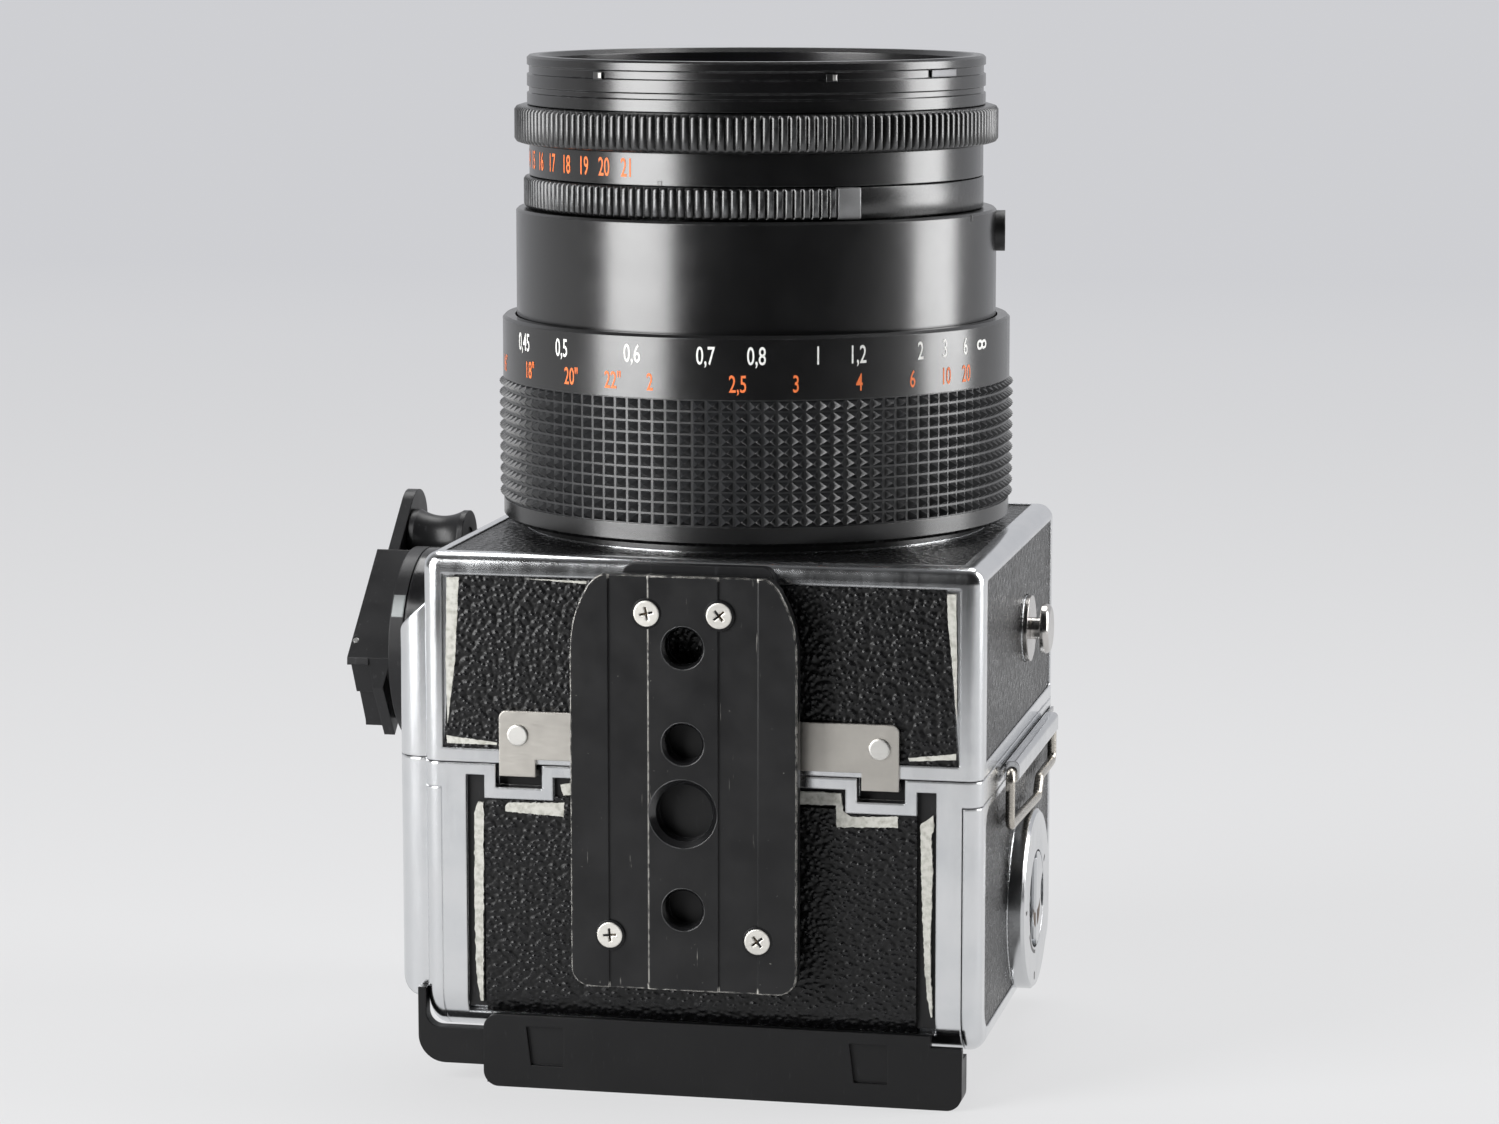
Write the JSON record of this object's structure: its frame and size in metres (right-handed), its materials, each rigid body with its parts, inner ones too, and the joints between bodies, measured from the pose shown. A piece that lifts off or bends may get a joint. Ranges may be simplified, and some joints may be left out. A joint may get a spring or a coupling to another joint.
{
  "type": "medium format film camera",
  "caption": "Short-bodied medium format film camera with a fixed wide lens, rear film magazine, folding winding crank and a quick-release plate on its underside.",
  "frame": {"origin": "where the lens axis meets the surface that the camera stands on, at the underside of the dark slide holder", "axes": "+Z out along the lens axis, +Y to the camera's top, +X to the camera's left side"},
  "size_m": [0.1184, 0.1016, 0.1706],
  "materials": {
    "chrome_trim": "satin chrome with worn edges",
    "black_leather": "pebbled black covering",
    "lens_black": "satin black anodised",
    "rubber_grip": "matt black knurled",
    "satin_nickel": "warm satin nickel",
    "black_anodised": "black anodised with worn edges",
    "screw_steel": "plain steel",
    "vial_glass": "clear vial",
    "black_plastic": "moulded satin black",
    "gear_brass": "machined",
    "lens_glass": "coated optical glass",
    "insert_aluminium": "black lacquered sheet",
    "slide_steel": "thin spring steel",
    "film_paper": "paper-backed roll film on a black spool",
    "spool_plastic": "moulded",
    "blade_steel": "blackened steel"
  },
  "bodies": {
    "magazine": {"magazine_shell": "chrome_trim", "magazine_leather": "black_leather", "magazine_gear_cover": "chrome_trim", "slide_holder": "black_plastic"},
    "camera_body": {"body_shell": "chrome_trim", "body_leather_under": "black_leather", "body_leather_top": "black_leather", "body_leather_left": "black_leather", "body_leather_right": "black_leather", "body_leather_front": "black_leather", "body_gear_cover": "chrome_trim", "hook_plate": "satin_nickel", "hook_rivets": "satin_nickel", "plate_backing": "black_anodised", "tripod_plate": "black_anodised", "plate_screws": "screw_steel", "strap_lugs": "chrome_trim", "accessory_shoe": "chrome_trim", "level_case": "chrome_trim", "level_vial": "vial_glass", "release_collar": "chrome_trim", "focus_tube": "lens_black"},
    "release": {"release_button": "chrome_trim"},
    "crank": {"crank_hub": "black_plastic", "crank_hinge_pin": "screw_steel", "winding_shaft": "screw_steel"},
    "crank_arm": {"crank_arm": "black_plastic"},
    "knob": {"crank_knob": "black_plastic"},
    "idler": {"idler_gear": "gear_brass"},
    "magazine_drive": {"magazine_gear": "gear_brass"},
    "wind_key": {"wind_key": "chrome_trim"},
    "catch": {"magazine_catch": "chrome_trim"},
    "focus": {"focus_ring": "lens_black", "focus_grip": "rubber_grip"},
    "barrel": {"lens_barrel": "lens_black", "front_bezel": "lens_black", "front_glass": "lens_glass", "rear_cell": "lens_black", "rear_glass": "lens_glass", "iris_housing": "lens_black", "sync_socket": "lens_black"},
    "aperture": {"aperture_ring": "lens_black"},
    "shutter": {"shutter_ring": "lens_black", "ev_ring": "lens_black"},
    "insert": {"insert_side_plate": "chrome_trim", "insert_leather": "black_leather", "insert_frame": "insert_aluminium", "pressure_plate": "insert_aluminium"},
    "supply": {"supply_spool": "film_paper"},
    "take_up": {"take_up_spool": "spool_plastic"},
    "key": {"key_disc": "chrome_trim"},
    "key_tab": {"key_tab": "chrome_trim"},
    "dark_slide": {"slide_blade": "slide_steel", "slide_grip": "chrome_trim"},
    "bail": {"slide_bail": "satin_nickel"},
    "blade_1": {"iris_blade_1": "blade_steel"},
    "blade_2": {"iris_blade_2": "blade_steel"},
    "blade_3": {"iris_blade_3": "blade_steel"},
    "blade_4": {"iris_blade_4": "blade_steel"},
    "blade_5": {"iris_blade_5": "blade_steel"}
  },
  "joints": [
    {"name": "body_release", "type": "slide", "parent": "magazine", "child": "camera_body", "axis": [0, 0, 1], "range_m": [0, 0.05]},
    {"name": "release_press", "type": "slide", "parent": "camera_body", "child": "release", "axis": [0, -1, 0], "range_m": [0, 0.002], "stiffness_N_per_m": 400, "springref_m": -0.002},
    {"name": "crank_turn", "type": "hinge", "parent": "camera_body", "child": "crank", "pos_m": [-0.0547, -0.017, 0.069], "axis": [-1, 0, 0], "continuous": true},
    {"name": "crank_fold", "type": "hinge", "parent": "crank", "child": "crank_arm", "pos_m": [-0.0653, -0.02118, 0.06542], "axis": [0, -0.6508, 0.7593], "range_deg": [0, 180]},
    {"name": "knob_spin", "type": "hinge", "parent": "crank_arm", "child": "knob", "pos_m": [-0.0624, 0.00122, 0.08462], "axis": [1, 0, 0], "continuous": true},
    {"name": "idler_spin", "type": "hinge", "parent": "camera_body", "child": "idler", "pos_m": [-0.0497, -0.017, 0.05688], "axis": [-1, 0, 0], "continuous": true},
    {"name": "magazine_drive_spin", "type": "hinge", "parent": "magazine", "child": "magazine_drive", "pos_m": [-0.0497, -0.017, 0.04176], "axis": [-1, 0, 0], "continuous": true},
    {"name": "wind_key_turn", "type": "hinge", "parent": "magazine", "child": "wind_key", "pos_m": [-0.0519, -0.024, 0.024], "axis": [-1, 0, 0], "continuous": true},
    {"name": "catch_slide", "type": "slide", "parent": "magazine", "child": "catch", "axis": [1, 0, 0], "range_m": [0, 0.0035], "stiffness_N_per_m": 300, "springref_m": -0.003},
    {"name": "focus_turn", "type": "hinge", "parent": "camera_body", "child": "focus", "pos_m": [0, 0, 0.0912], "axis": [0, 0, 1], "range_deg": [-93, 107]},
    {"name": "barrel_extend", "type": "slide", "parent": "camera_body", "child": "barrel", "axis": [0, 0, 1], "range_m": [-0.003, 0.0027]},
    {"name": "aperture_turn", "type": "hinge", "parent": "barrel", "child": "aperture", "pos_m": [0, 0, 0.1447], "axis": [0, 0, 1], "range_deg": [0, 70]},
    {"name": "shutter_turn", "type": "hinge", "parent": "barrel", "child": "shutter", "pos_m": [0, 0, 0.1557], "axis": [0, 0, 1], "range_deg": [-50, 50]},
    {"name": "insert_slide", "type": "slide", "parent": "magazine", "child": "insert", "axis": [1, 0, 0], "range_m": [0, 0.09]},
    {"name": "supply_spin", "type": "hinge", "parent": "insert", "child": "supply", "pos_m": [0, -0.033, 0.027], "axis": [-1, 0, 0], "continuous": true},
    {"name": "take_up_spin", "type": "hinge", "parent": "insert", "child": "take_up", "pos_m": [0, 0.0154, 0.027], "axis": [-1, 0, 0], "continuous": true},
    {"name": "key_turn", "type": "hinge", "parent": "insert", "child": "key", "pos_m": [0.0479, -0.0045, 0.0256], "axis": [1, 0, 0], "range_deg": [0, 90]},
    {"name": "key_tab_fold", "type": "hinge", "parent": "key", "child": "key_tab", "pos_m": [0.0501, -0.0045, 0.0256], "axis": [0, 0, -1], "range_deg": [0, 90]},
    {"name": "slide_pull", "type": "slide", "parent": "insert", "child": "dark_slide", "axis": [1, 0, 0], "range_m": [0, 0.082]},
    {"name": "bail_swing", "type": "hinge", "parent": "dark_slide", "child": "bail", "pos_m": [0.0494, 0, 0.0522], "axis": [0, -1, 0], "range_deg": [0, 90]},
    {"name": "blade_swing_1", "type": "hinge", "parent": "barrel", "child": "blade_1", "pos_m": [0.0245, 0, 0.12976], "axis": [0, 0, 1], "range_deg": [0, 38.2]},
    {"name": "blade_swing_2", "type": "hinge", "parent": "barrel", "child": "blade_2", "pos_m": [0.00757, 0.0233, 0.13036], "axis": [0, 0, 1], "range_deg": [0, 38.2]},
    {"name": "blade_swing_3", "type": "hinge", "parent": "barrel", "child": "blade_3", "pos_m": [-0.01982, 0.0144, 0.13096], "axis": [0, 0, 1], "range_deg": [0, 38.2]},
    {"name": "blade_swing_4", "type": "hinge", "parent": "barrel", "child": "blade_4", "pos_m": [-0.01982, -0.0144, 0.13156], "axis": [0, 0, 1], "range_deg": [0, 38.2]},
    {"name": "blade_swing_5", "type": "hinge", "parent": "barrel", "child": "blade_5", "pos_m": [0.00757, -0.0233, 0.13216], "axis": [0, 0, 1], "range_deg": [0, 38.2]}
  ],
  "couplings": [
    {"joint": "idler_spin", "follows": "crank_turn", "ratio": -1},
    {"joint": "magazine_drive_spin", "follows": "crank_turn", "ratio": 0.66667},
    {"joint": "take_up_spin", "follows": "crank_turn", "ratio": 1},
    {"joint": "supply_spin", "follows": "crank_turn", "ratio": 0.6},
    {"joint": "barrel_extend", "follows": "focus_turn", "m_per_rad": -0.0015756},
    {"joint": "blade_swing_1", "follows": "aperture_turn", "ratio": 0.54286},
    {"joint": "blade_swing_2", "follows": "aperture_turn", "ratio": 0.54286},
    {"joint": "blade_swing_3", "follows": "aperture_turn", "ratio": 0.54286},
    {"joint": "blade_swing_4", "follows": "aperture_turn", "ratio": 0.54286},
    {"joint": "blade_swing_5", "follows": "aperture_turn", "ratio": 0.54286}
  ]
}
